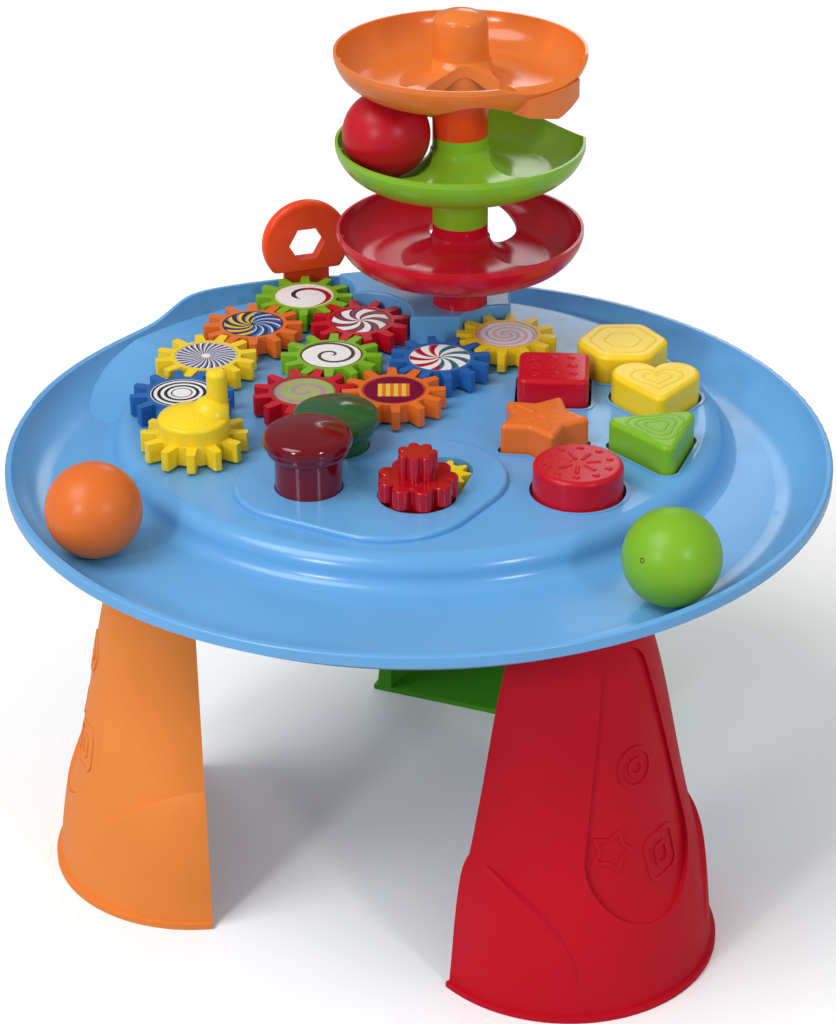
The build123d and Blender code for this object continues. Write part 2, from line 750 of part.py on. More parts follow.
def cover():
    wires = [
        Line((0, COVER_Z), (COVER_FLAT_R, COVER_Z)),
        Line((COVER_FLAT_R, COVER_Z), (COVER_TOP_R, COVER_TOP_Z - COVER_WALL)),
        Line((COVER_TOP_R, COVER_TOP_Z - COVER_WALL), (COVER_TOP_R, COVER_TOP_Z)),
        Line((COVER_TOP_R, COVER_TOP_Z), (COVER_TOP_R - COVER_WALL, COVER_TOP_Z)),
        Line((COVER_TOP_R - COVER_WALL, COVER_TOP_Z), (COVER_FLAT_R - 1.0, COVER_INSIDE_Z)),
        Line((COVER_FLAT_R - 1.0, COVER_INSIDE_Z), (0, COVER_INSIDE_Z)),
        Line((0, COVER_INSIDE_Z), (0, COVER_Z)),
    ]
    plate = turned(wires)
    half = Box(200, 400, 60, align=(Align.MIN, Align.CENTER, Align.CENTER))
    pad_r = LEG_PROFILE[-1][0] + 1.0
    for degrees in LEG_DEG.values():
        place = leg_location(degrees)
        pad = disc((0, 0), pad_r, COVER_Z, COVER_Z + 16.0) & Pos(0, 0, COVER_Z) * half
        plate += place * pad
        hole = disc((LEG_SCREW_REACH, 0), SCREW_R + SCREW_GAP, COVER_Z - 1.0, COVER_Z + SCREW_LENGTH)
        plate -= place * hole
    for xy in SCREW_XY:
        plate -= disc(xy, SCREW_R + SCREW_GAP, COVER_Z - 1.0, COVER_INSIDE_Z + 1.0)
    px, py = PIVOT_XY
    for side in (-1.0, 1.0):
        ear = Pos(0, side * (BEAM_WIDTH / 2 + 3.0), COVER_INSIDE_Z) * Box(
            12.0, 4.0, BEAM_PIVOT_Z - COVER_INSIDE_Z + 6.0, align=(Align.CENTER, Align.CENTER, Align.MIN)
        )
        plate += Pos(px, py, 0) * Rot(0, 0, BEAM_DEG) * ear
    plate -= pin_form(PIN_R + RUNNING_GAP, BEAM_WIDTH + 20.0)
    return plate


def screw(length):
    """Pan-head screw pointing up, with its head's top face at z = 0."""
    body = disc((0, 0), SCREW_HEAD_R, -SCREW_HEAD, 0.0)
    body += disc((0, 0), SCREW_R, 0.0, length)
    return body


# Rocker under the pegs

PIVOT_XY = (
    (PEG_RED_XY[0] + PEG_GREEN_XY[0]) / 2,
    (PEG_RED_XY[1] + PEG_GREEN_XY[1]) / 2,
)
BEAM_DEG = math.degrees(
    math.atan2(PEG_GREEN_XY[1] - PEG_RED_XY[1], PEG_GREEN_XY[0] - PEG_RED_XY[0])
)
BEAM_HALF = math.dist(PEG_RED_XY, PEG_GREEN_XY) / 2


def pin_form(radius, length):
    px, py = PIVOT_XY
    pin = extrude(Plane.XZ * Circle(radius), length / 2, both=True)
    return Pos(px, py, BEAM_PIVOT_Z) * Rot(0, 0, BEAM_DEG) * pin


BEAM_TILT = math.degrees(math.atan2(PEG_TRAVEL / 2, BEAM_HALF))


def rocker_beam():
    """Beam tipped to its rest position: its red end is up and its green end is down."""
    bar = SlotCenterToCenter(2 * (BEAM_HALF + BEAM_OVERHANG), BEAM_THICK)
    bar += Circle(BEAM_HUB_R)
    beam = extrude(Plane.XZ * bar, BEAM_WIDTH / 2, both=True)
    beam -= extrude(Plane.XZ * Circle(PIN_R + RUNNING_GAP), BEAM_WIDTH, both=True)
    px, py = PIVOT_XY
    return Pos(px, py, BEAM_PIVOT_Z) * Rot(0, 0, BEAM_DEG) * Rot(0, BEAM_TILT, 0) * beam


# Pegs


def peg(xy, cap_z, side):
    """Mushroom peg: thick stem, rounded cap and a round-ended post that rides on the beam."""
    tilt = math.radians(BEAM_TILT)
    rest = PEG_POST_R + BEAM_THICK / 2 + SEAT_GAP
    tip_z = BEAM_PIVOT_Z + (rest + side * BEAM_HALF * math.sin(tilt)) / math.cos(tilt)
    tube_z = ISLAND_Z - PEG_TAIL - (PEG_UP_CAP_Z - cap_z)
    top_z = cap_z + PEG_CAP_HEIGHT
    lip_r = PEG_CAP_R - PEG_LIP
    lip_z = cap_z + PEG_LIP_HEIGHT
    edge = 5.5
    shoulder_z = top_z - 2.5
    dome = wall_arc_radius(PEG_CAP_R - edge, top_z - shoulder_z)
    wires = [
        RadiusArc((0, tip_z - PEG_POST_R), (PEG_POST_R, tip_z), -PEG_POST_R),
        Line((PEG_POST_R, tip_z), (PEG_POST_R, tube_z)),
        Line((PEG_POST_R, tube_z), (PEG_STEM_R, tube_z)),
        Line((PEG_STEM_R, tube_z), (PEG_STEM_R, cap_z)),
        RadiusArc((PEG_STEM_R, cap_z), (lip_r, lip_z - 2.0), -5.0),
        Line((lip_r, lip_z - 2.0), (lip_r, lip_z)),
        RadiusArc((lip_r, lip_z), (PEG_CAP_R, lip_z + 2.5), -2.6),
        Line((PEG_CAP_R, lip_z + 2.5), (PEG_CAP_R, shoulder_z - edge)),
        RadiusArc((PEG_CAP_R, shoulder_z - edge), (PEG_CAP_R - edge, shoulder_z), -edge),
        RadiusArc((PEG_CAP_R - edge, shoulder_z), (0, top_z), -dome),
        Line((0, top_z), (0, tip_z - PEG_POST_R)),
    ]
    return at(xy) * turned(wires)


PEG_UP_CAP_Z = PAD_Z + PEG_LIFT
PEG_DOWN_CAP_Z = PEG_UP_CAP_Z - PEG_TRAVEL


# Knob


def lobed(radius, lobe_r, count, turn=0.0):
    ring = Circle(radius - lobe_r)
    for step in range(count):
        x, y = polar(radius - lobe_r, turn + step * 360.0 / count)
        ring += Pos(x, y) * Circle(lobe_r)
    return ring


def small_gear_outline(teeth):
    return tooth_ring(
        teeth,
        SMALL_MODULE * teeth / 2,
        SMALL_ADDENDUM,
        GEAR_ROOT_GAP / 2,
        SMALL_TOOTH_HALF_PITCH,
        SMALL_TOOTH_HALF_TIP,
        SMALL_TIP_ROUND,
    )


SMALL_BOTTOM = RECESS_Z + SEAT_GAP


def knob():
    base_z = PAD_Z + KNOB_LIFT
    base = extrude(Pos(0, 0, base_z) * lobed(KNOB_R, KNOB_LOBE_R, KNOB_LOBES), KNOB_BASE_HEIGHT)
    edges = base.edges().filter_by_position(Axis.Z, base_z + KNOB_BASE_HEIGHT - 0.1, 1e6)
    base = fillet(edges, 1.8)
    top_z = base_z + KNOB_BASE_HEIGHT
    top = extrude(Pos(0, 0, top_z - 1.0) * lobed(KNOB_TOP_R, KNOB_TOP_LOBE_R, 7), KNOB_TOP_HEIGHT + 1.0)
    edges = top.edges().filter_by_position(Axis.Z, top_z + KNOB_TOP_HEIGHT - 0.1, 1e6)
    top = fillet(edges, 1.4)
    body = base + top
    body += extrude(Pos(0, 0, SMALL_BOTTOM) * small_gear_outline(KNOB_TEETH), SMALL_THICK)
    body += disc((0, 0), KNOB_PITCH_R - SMALL_ADDENDUM - 1.0, SMALL_BOTTOM, base_z)
    body -= disc((0, 0), SMALL_POST_R + RUNNING_GAP, SMALL_BOTTOM - 1.0, SMALL_BOTTOM + SMALL_THICK - 1.0)
    return at(KNOB_XY) * body


def knob_gear():
    turn = KNOB_GEAR_DEG + 180.0 + (KNOB_GEAR_DEG * KNOB_TEETH + 180.0) / KNOB_GEAR_TEETH
    body = extrude(Pos(0, 0, SMALL_BOTTOM) * small_gear_outline(KNOB_GEAR_TEETH), SMALL_THICK)
    body -= disc((0, 0), SMALL_POST_R + RUNNING_GAP, SMALL_BOTTOM - 1.0, SMALL_BOTTOM + SMALL_THICK - 1.0)
    return at(KNOB_GEAR_XY, 0.0, turn) * body


# Crank handle


def crank_handle():
    """Domed drum on the first gear that swells up into a rounded finger post at its edge."""
    side_z = GEAR_TOP + CRANK_SIDE
    top_z = GEAR_TOP + CRANK_HEIGHT
    edge = 3.0
    dome_r = CRANK_R - edge
    dome_z = side_z + edge
    drum = turned([
        Line((0, GEAR_TOP), (CRANK_R, GEAR_TOP)),
        Line((CRANK_R, GEAR_TOP), (CRANK_R, side_z)),
        RadiusArc((CRANK_R, side_z), (dome_r, dome_z), -edge),
        RadiusArc((dome_r, dome_z), (0, top_z), -wall_arc_radius(dome_r, top_z - dome_z)),
        Line((0, top_z), (0, GEAR_TOP)),
    ])
    reach = CRANK_R - FINGER_R - 0.4
    finger = disc((reach, 0), FINGER_R, GEAR_TOP + 1.0, GEAR_TOP + FINGER_HEIGHT)
    rim = finger.edges().filter_by_position(Axis.Z, GEAR_TOP + FINGER_HEIGHT - 0.1, 1e6)
    finger = fillet(rim, FINGER_R * 0.6)
    root = Pos(reach - 4.5, 0, side_z) * Sphere(FINGER_ROOT_R)
    root &= disc((0, 0), CRANK_R - 0.4, GEAR_TOP + 1.0, GEAR_TOP + FINGER_HEIGHT)
    return at(GEAR_START, 0.0, CRANK_TURN_DEG) * (drum + root + finger)


# Sorter box


def sorter_box():
    """Cups under the six holes on one floor plate."""
    edges = ShapeList()
    for xy, _ in BLOCKS.values():
        edges += (Pos(xy[0], xy[1]) * Circle(HEX_R + 2.0)).edges()
    floor = make_hull(edges) & Pos(0, ISLAND_Y) * Circle(ISLAND_TOP_R)
    box = extrude(Pos(0, 0, BOX_FLOOR_Z - BOX_WALL) * floor, BOX_WALL)
    rim_z = ISLAND_Z - WALL - SEAT_GAP
    hollows = []
    for xy, outline in BLOCKS.values():
        wall = offset(outline(), BLOCK_GAP + BOX_WALL)
        hollow = offset(outline(), BLOCK_GAP)
        box += extrude(at(xy, BOX_FLOOR_Z) * wall, rim_z - BOX_FLOOR_Z)
        hollows.append(extrude(at(xy, BOX_FLOOR_Z) * hollow, rim_z - BOX_FLOOR_Z + 5.0))
    for hollow in hollows:
        box -= hollow
    box &= island_form(WALL + SEAT_GAP, BOX_FLOOR_Z - 2 * BOX_WALL)
    for xy in BOX_FEET:
        box += disc(xy, SCREW_POST_R, COVER_INSIDE_Z + SEAT_GAP, BOX_FLOOR_Z - BOX_WALL)
    return box


# Ball tower


def saddle(low):
    """Raised front of a dish's floor, with a round basin pressed into it at each side."""
    wall_r = DISH_R - DISH_LIP - 0.5
    profile = [
        Line((STEM_R - 0.8, low + 16.0), (STEM_R - 0.8, -2.0)),
        Spline(
            (STEM_R - 0.8, -2.0), (STEM_R + 3.5, -8.0), (STEM_R + 17.0, SADDLE_Z),
            (BOWL_FOOT_R, SADDLE_Z), (wall_r, -5.0),
        ),
        Polyline(
            (wall_r, -5.0), (78.0, -17.8), (70.0, -22.2), (BOWL_FOOT_R, low), (42.0, low), (36.0, low + 0.8),
            (30.0, low + 3.2), (24.0, low + 8.2), (STEM_R + 1.5, low + 13.2), (STEM_R - 0.8, low + 16.0),
        ),
    ]
    body = turned(profile, 180.0, 180.0)
    for degrees in BASIN_DEGREES:
        body -= disc(polar(BASIN_REACH, degrees), BASIN_R, low - 5.0, 5.0)
    return body


def beak():
    """Pointed spout that hangs under the dip in a dish's rim, drawn about the dish's own axis."""
    low = BEAK_TIP_Z
    under = -DISH_DEPTH
    side = Polygon(
        (48.0, under - 1.0),
        (DISH_R - 10.0, low),
        (DISH_R - 2.0, low),
        (DISH_R + 6.0, -20.0),
        (DISH_R + 6.0, -5.0),
        (48.0, -5.0),
        align=None,
    )
    half = BEAK_HALF_WIDTH
    front = Polygon(
        (-half, -DIP_DEPTH), (-half, under), (0.0, low + 1.0), (half, under), (half, -DIP_DEPTH), align=None
    )
    body = extrude(Plane.XZ * side, half, both=True) & extrude(Plane.YZ * front, DISH_R + 10.0)
    return body & disc((0, 0), DISH_R - 0.6, low - 5.0, 0.0)


def dish(name, rim_z, stem_bottom_z):
    """Bowl with a trumpet-shaped middle, a stem below and a spigot above, and its drop hole."""
    floor = -DISH_DEPTH
    under = floor - DISH_WALL
    lip_in = DISH_R - DISH_LIP
    bowl_r = wall_arc_radius(lip_in - BOWL_FOOT_R, DISH_DEPTH)
    horn_r = STEM_R + TRUMPET_R
    horn_z = floor + TRUMPET_R
    under_joint = horn_z - math.sqrt((TRUMPET_R + DISH_WALL) ** 2 - TRUMPET_R**2)
    stem_in = STEM_R - STEM_WALL
    plug = stem_in - SPIGOT_GAP
    bore = plug - SPIGOT_WALL
    bottom = stem_bottom_z - rim_z
    outer_drop = bowl_r + DISH_WALL
    centre_z = floor + bowl_r
    outer_top = centre_z - math.sqrt(outer_drop**2 - (DISH_R - BOWL_FOOT_R) ** 2)
    wires = [
        Line((stem_in, bottom), (STEM_R, bottom)),
        Line((STEM_R, bottom), (STEM_R, under_joint)),
        RadiusArc((STEM_R, under_joint), (horn_r, under), -TRUMPET_R - DISH_WALL),
        Line((horn_r, under), (BOWL_FOOT_R, under)),
        RadiusArc((BOWL_FOOT_R, under), (DISH_R, outer_top), -outer_drop),
        Line((DISH_R, outer_top), (DISH_R, 0)),
        Line((DISH_R, 0), (lip_in, 0)),
        RadiusArc((lip_in, 0), (BOWL_FOOT_R, floor), bowl_r),
        Line((BOWL_FOOT_R, floor), (horn_r, floor)),
        RadiusArc((horn_r, floor), (STEM_R, horn_z), TRUMPET_R),
        Line((STEM_R, horn_z), (STEM_R, STEM_TOP)),
        Line((STEM_R, STEM_TOP), (plug, STEM_TOP)),
        Line((plug, STEM_TOP), (plug, STEM_TOP + SPIGOT_HEIGHT)),
        Line((plug, STEM_TOP + SPIGOT_HEIGHT), (bore, STEM_TOP + SPIGOT_HEIGHT)),
        Line((bore, STEM_TOP + SPIGOT_HEIGHT), (bore, STEM_TOP - 6.0)),
        Line((bore, STEM_TOP - 6.0), (stem_in, STEM_TOP - 6.0)),
        Line((stem_in, STEM_TOP - 6.0), (stem_in, bottom)),
    ]
    body = turned(wires)
    dip = DIP_DEGREES[name]
    mid_r = bowl_r + DISH_WALL / 2
    mid_floor = floor - DISH_WALL / 2
    mid_top = centre_z - math.sqrt(mid_r**2 - (lip_in - BOWL_FOOT_R) ** 2)
    cavity = turned([
        Line((0, 2.0), (0, mid_floor)),
        Line((0, mid_floor), (BOWL_FOOT_R, mid_floor)),
        RadiusArc((BOWL_FOOT_R, mid_floor), (lip_in, mid_top), -mid_r),
        Line((lip_in, mid_top), (lip_in, 2.0)),
        Line((lip_in, 2.0), (0, 2.0)),
    ])
    body += Rot(0, 0, dip) * (beak() - cavity)
    body += saddle(mid_floor)
    body -= disc(polar(DROP_REACH, DROP_DEGREES[name]), DROP_R, BEAK_TIP_Z - 1.0, 1.0)
    edge_reach = DISH_R * math.cos(math.radians(DIP_HALF_DEG))
    slope = math.degrees(math.atan2(DIP_DEPTH, DISH_R - edge_reach))
    wedge = Pos(edge_reach, 0, 0) * Rot(0, slope, 0) * Box(
        120, 240, 60, align=(Align.MIN, Align.CENTER, Align.MIN)
    )
    body -= Rot(0, 0, dip) * wedge
    return at(TOWER_XY, rim_z) * body


BOWL_FOOT_R = 60.0


def tower_cap(rim_z):
    bottom = rim_z + STEM_TOP
    top = rim_z + STEM_TOP + CAP_TOP
    inner = STEM_R - STEM_WALL
    wires = [
        Line((0, top - 3.0), (0, top)),
        RadiusArc((0, top), (CAP_R - CAP_EDGE, top - CAP_DOME), wall_arc_radius(CAP_R - CAP_EDGE, CAP_DOME)),
        RadiusArc((CAP_R - CAP_EDGE, top - CAP_DOME), (CAP_R, top - CAP_DOME - 2 * CAP_EDGE), 3 * CAP_EDGE),
        Line((CAP_R, top - CAP_DOME - 2 * CAP_EDGE), (STEM_R, bottom)),
        Line((STEM_R, bottom), (inner, bottom)),
        Line((inner, bottom), (inner, bottom + SPIGOT_HEIGHT + 1.0)),
        Line((inner, bottom + SPIGOT_HEIGHT + 1.0), (0, top - 3.0)),
    ]
    return at(TOWER_XY) * turned(wires)


# Balls and spanner


def ball(xy, z):
    return Pos(xy[0], xy[1], z) * Sphere(BALL_R)


def spanner():
    """Pear-shaped head with a hexagonal hole, on a thin tongue that stands in its slot."""
    face = Plane.XZ
    foot = SPANNER_FOOT_Z - SPANNER_HEAD_Z
    half = SPANNER_FOOT_WIDTH / 2
    cheek = 0.92 * SPANNER_HEAD_R
    outline = Circle(SPANNER_HEAD_R)
    outline += Polygon((-cheek, -12.0), (cheek, -12.0), (half, foot), (-half, foot), align=None)
    outline &= Pos(0, foot) * Rectangle(4 * SPANNER_HEAD_R, 3 * SPANNER_HEAD_R, align=(Align.CENTER, Align.MIN))
    head = extrude(face * outline, SPANNER_THICK / 2, both=True)
    head -= extrude(face * RegularPolygon(SPANNER_HEX_R, 6), SPANNER_THICK, both=True)
    rims = [edge for edge in head.edges() if edge.length > 3 * SPANNER_HEAD_R]
    head = fillet(rims, SPANNER_EDGE)
    width = SPANNER_TONGUE_WIDTH
    bottom = SPANNER_BOTTOM_Z - SPANNER_HEAD_Z
    tongue = Pos(0, 0, bottom) * Box(
        width, SPANNER_TONGUE_THICK, 8.0 + foot - bottom, align=(Align.CENTER, Align.CENTER, Align.MIN)
    )
    return spanner_location() * Pos(0, 0, SPANNER_HEAD_Z) * (head + tongue)


# Writing the nodes


# The dishes reach out past the rim at the back, so the outline's middle lies behind the rim's centre
MIDDLE_Y = (TOWER_XY[1] + DISH_R - RIM_R) / 2


def save(name, shape):
    export_step(Pos(0, -MIDDLE_Y, 0) * shape, f"parts/{name}.step")


def main():
    os.makedirs("parts", exist_ok=True)
    save("tray_top", tray_top())
    save("underside_cover", cover())
    heads = [at(xy, COVER_Z) * screw(COVER_WALL + SCREW_LENGTH - 3.0) for xy in SCREW_XY]
    save("cover_screws", Compound(children=heads))
    save("sorter_box", sorter_box())
    one_leg = leg()
    leg_screws = []
    for name, degrees in LEG_DEG.items():
        save(name, leg_location(degrees) * one_leg)
        place = leg_location(degrees) * Pos(LEG_SCREW_REACH, 0, LEG_TOP_Z - LEG_WALL)
        leg_screws.append(place * screw(SCREW_LENGTH))
    save("leg_screws", Compound(children=leg_screws))

    rims = {
        "dish_red": RED_DISH_RIM_Z,
        "dish_green": RED_DISH_RIM_Z + DISH_SPACING,
        "dish_orange": RED_DISH_RIM_Z + 2 * DISH_SPACING,
    }
    below = SHELF_Z
    for name, rim_z in rims.items():
        save(name, dish(name, rim_z, below))
        below = rim_z + STEM_TOP
    save("tower_cap", tower_cap(rims["dish_orange"]))

    plain_gear = big_gear(False)
    disc_gear = big_gear(True)
    inlay = disc((0, 0), DISC_R, DISC_Z, DISC_Z + DISC_THICK)
    for name, (xy, turn) in zip(GEAR_NAMES, GEAR_PLACES):
        source = plain_gear if name == "gear_crank" else disc_gear
        save(name, at(xy, 0.0, turn) * source)
        if name != "gear_crank":
            save(name.replace("gear_", "disc_"), at(xy, 0.0, turn) * inlay)
    save("crank_handle", crank_handle())

    save("peg_red", peg(PEG_RED_XY, PEG_UP_CAP_Z, 1.0))
    save("peg_green", peg(PEG_GREEN_XY, PEG_DOWN_CAP_Z, -1.0))
    save("rocker_beam", rocker_beam())
    save("rocker_pin", pin_form(PIN_R, BEAM_WIDTH + 14.0))
    save("knob_red", knob())
    save("knob_gear", knob_gear())

    for name, (xy, outline) in BLOCKS.items():
        save(name, at(xy) * block(outline))

    track_z = TRACK_Z + ROLL_GAP + BALL_R
    save("ball_orange", ball(polar(TRACK_BALL_R, ORANGE_BALL_DEG), track_z))
    save("ball_green", ball(polar(TRACK_BALL_R, GREEN_BALL_DEG), track_z))
    dx, dy = polar(BASIN_REACH, BASIN_DEGREES[0])
    red_z = rims["dish_green"] - DISH_DEPTH + ROLL_GAP + BALL_R
    save("ball_red", ball((TOWER_XY[0] + dx, TOWER_XY[1] + dy), red_z))
    save("spanner", spanner())


main()
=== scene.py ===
import math

import bmesh
import bpy
from mathutils import Matrix, Vector


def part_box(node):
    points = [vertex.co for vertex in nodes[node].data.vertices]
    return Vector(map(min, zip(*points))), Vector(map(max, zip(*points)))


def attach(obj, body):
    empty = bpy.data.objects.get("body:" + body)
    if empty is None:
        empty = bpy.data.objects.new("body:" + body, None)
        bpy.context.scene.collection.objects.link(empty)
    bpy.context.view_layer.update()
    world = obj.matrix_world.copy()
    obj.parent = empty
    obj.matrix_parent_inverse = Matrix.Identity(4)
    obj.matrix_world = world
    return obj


TAU = 2.0 * math.pi

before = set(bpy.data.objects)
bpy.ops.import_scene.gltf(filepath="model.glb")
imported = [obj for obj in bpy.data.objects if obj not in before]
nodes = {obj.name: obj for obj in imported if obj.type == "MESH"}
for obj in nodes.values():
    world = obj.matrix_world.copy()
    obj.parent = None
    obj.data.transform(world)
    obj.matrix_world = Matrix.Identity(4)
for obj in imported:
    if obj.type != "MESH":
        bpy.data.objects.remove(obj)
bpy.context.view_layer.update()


def box_middle(name):
    """Middle of a node's box at rest, seen from above."""
    low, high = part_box(name)
    return (low[0] + high[0]) / 2, (low[1] + high[1]) / 2


def link_object(name, data):
    obj = bpy.data.objects.new(name, data)
    bpy.context.scene.collection.objects.link(obj)
    return obj


# ---- camera: focal length and image centre in pixels of the photograph's frame

PHOTO_WIDTH_PX = 836
FOCAL_PX = 2762.8
CENTRE_X_PX = -2.53
CENTRE_Y_PX = 0.44
SENSOR_MM = 36.0
EYE = Vector((0.0, -1.6215, 1.1224))
PITCH = 0.4936
YAW = -0.0015
ROLL = -0.0063


def make_camera():
    level = math.cos(PITCH)
    forward = Vector((math.sin(YAW) * level, math.cos(YAW) * level, -math.sin(PITCH)))
    right = Vector((math.cos(YAW), -math.sin(YAW), 0.0))
    up = right.cross(forward)
    r = right * math.cos(ROLL) + up * math.sin(ROLL)
    u = up * math.cos(ROLL) - right * math.sin(ROLL)
    data = bpy.data.cameras.new("camera")
    data.sensor_fit = "HORIZONTAL"
    data.sensor_width = SENSOR_MM
    data.lens = FOCAL_PX * SENSOR_MM / PHOTO_WIDTH_PX
    data.shift_x = -CENTRE_X_PX / PHOTO_WIDTH_PX
    data.shift_y = CENTRE_Y_PX / PHOTO_WIDTH_PX
    data.clip_start = 0.05
    data.clip_end = 50.0
    camera = link_object("camera", data)
    camera.matrix_world = Matrix((
        (r.x, u.x, -forward.x, EYE.x),
        (r.y, u.y, -forward.y, EYE.y),
        (r.z, u.z, -forward.z, EYE.z),
        (0.0, 0.0, 0.0, 1.0),
    ))
    bpy.context.scene.camera = camera


# ---- node helpers

def new_material(name):
    material = bpy.data.materials.new(name)
    material.use_nodes = True
    tree = material.node_tree
    tree.nodes.clear()
    out = tree.nodes.new("ShaderNodeOutputMaterial")
    shader = tree.nodes.new("ShaderNodeBsdfPrincipled")
    tree.links.new(shader.outputs[0], out.inputs[0])
    return material, tree, shader


def coords(tree):
    return tree.nodes.new("ShaderNodeTexCoord").outputs["Object"]


def noise(tree, vector, scale, detail=4.0, roughness=0.55):
    node = tree.nodes.new("ShaderNodeTexNoise")
    node.inputs["Scale"].default_value = scale
    node.inputs["Detail"].default_value = detail
    node.inputs["Roughness"].default_value = roughness
    tree.links.new(vector, node.inputs["Vector"])
    return node.outputs["Fac"]


def remap(tree, value, low, high):
    """Spread the middle of a noise, where nearly all of it lies, from low to high."""
    node = tree.nodes.new("ShaderNodeMapRange")
    tree.links.new(value, node.inputs["Value"])
    node.inputs["From Min"].default_value = 0.3
    node.inputs["From Max"].default_value = 0.7
    node.inputs["To Min"].default_value = low
    node.inputs["To Max"].default_value = high
    return node.outputs["Result"]


def maths(tree, operation, first, second=None):
    node = tree.nodes.new("ShaderNodeMath")
    node.operation = operation
    for index, value in enumerate((first, second)):
        if isinstance(value, (int, float)):
            node.inputs[index].default_value = value
        elif value is not None:
            tree.links.new(value, node.inputs[index])
    return node.outputs[0]


def mix(tree, factor, one, two):
    """Mix two colours, each a tuple or another node's output."""
    node = tree.nodes.new("ShaderNodeMix")
    node.data_type = "RGBA"
    tree.links.new(factor, node.inputs[0])
    for socket, colour in ((node.inputs[6], one), (node.inputs[7], two)):
        if isinstance(colour, tuple):
            socket.default_value = (*colour, 1.0)
        else:
            tree.links.new(colour, socket)
    return node.outputs[2]


def ramp(tree, value, stops):
    """Bands of plain colour, each from its stop up to the next."""
    node = tree.nodes.new("ShaderNodeValToRGB")
    node.color_ramp.interpolation = "CONSTANT"
    elements = node.color_ramp.elements
    for element, (position, colour) in zip(elements, stops):
        element.position = position
        element.color = (*colour, 1.0)
    for position, colour in stops[2:]:
        elements.new(position).color = (*colour, 1.0)
    tree.links.new(value, node.inputs[0])
    return node.outputs[0]


def split_about(tree, vector, centre):
    """Distances x and y from an upright axis, the reach from it, and the height."""
    split = tree.nodes.new("ShaderNodeSeparateXYZ")
    tree.links.new(vector, split.inputs[0])
    x = maths(tree, "SUBTRACT", split.outputs[0], centre[0])
    y = maths(tree, "SUBTRACT", split.outputs[1], centre[1])
    squares = maths(tree, "ADD", maths(tree, "MULTIPLY", x, x), maths(tree, "MULTIPLY", y, y))
    return x, y, maths(tree, "SQRT", squares), split.outputs[2]


def grain(tree, shader, vector, scale, strength, distance):
    bump = tree.nodes.new("ShaderNodeBump")
    bump.inputs["Strength"].default_value = strength
    bump.inputs["Distance"].default_value = distance
    tree.links.new(noise(tree, vector, scale, roughness=0.6), bump.inputs["Height"])
    tree.links.new(bump.outputs[0], shader.inputs["Normal"])


# ---- materials

def tint(colour, gain):
    return tuple(min(1.0, c * gain) for c in colour)


def moulded(name, colour, rough, shine=0.3, coat=0.0, coat_rough=0.08):
    """Injection-moulded plastic: cloudy colour, uneven gloss and a very fine grain."""
    material, tree, shader = new_material(name)
    vector = coords(tree)
    cloud = remap(tree, noise(tree, vector, 9.0), 0.0, 1.0)
    tree.links.new(mix(tree, cloud, tint(colour, 0.94), tint(colour, 1.05)), shader.inputs["Base Color"])
    wear = remap(tree, noise(tree, vector, 55.0, 5.0, 0.65), rough * 0.85, rough * 1.18)
    tree.links.new(wear, shader.inputs["Roughness"])
    shader.inputs["Specular IOR Level"].default_value = shine
    shader.inputs["Coat Weight"].default_value = coat
    shader.inputs["Coat Roughness"].default_value = coat_rough
    grain(tree, shader, vector, 2600.0, 0.12, 0.00004)
    return material


def steel(name):
    """Zinc-plated steel with mottled gloss."""
    material, tree, shader = new_material(name)
    vector = coords(tree)
    cloud = remap(tree, noise(tree, vector, 300.0), 0.0, 1.0)
    tree.links.new(mix(tree, cloud, (0.55, 0.55, 0.56), (0.68, 0.68, 0.70)), shader.inputs["Base Color"])
    shader.inputs["Metallic"].default_value = 1.0
    wear = remap(tree, noise(tree, vector, 700.0), 0.28, 0.42)
    tree.links.new(wear, shader.inputs["Roughness"])
    grain(tree, shader, vector, 2500.0, 0.2, 0.00005)
    return material


BLUE = (0.125, 0.37, 0.70)
GEAR_BLUE = (0.020, 0.125, 0.40)
ORANGE = (0.72, 0.155, 0.022)
DISH_ORANGE = (0.80, 0.195, 0.030)
LEG_ORANGE = (0.78, 0.235, 0.045)
SPANNER_ORANGE = (0.88, 0.070, 0.012)
# painted shade and red reflection for the orange dish's stem under its bowl
STEM_SHADE_ORANGE = (0.80, 0.062, 0.012)
RED = (0.52, 0.005, 0.018)
DISH_RED = (0.60, 0.007, 0.024)
KNOB_RED = (0.42, 0.003, 0.012)
PEG_RED = (0.150, 0.003, 0.010)
GREEN = (0.19, 0.43, 0.016)
DISH_GREEN = (0.24, 0.51, 0.025)
LEG_GREEN = (0.075, 0.34, 0.022)
PEG_GREEN = (0.022, 0.098, 0.030)
YELLOW = (0.86, 0.61, 0.018)
PALE = (0.72, 0.74, 0.76)
SHADOW = (0.03, 0.03, 0.03)

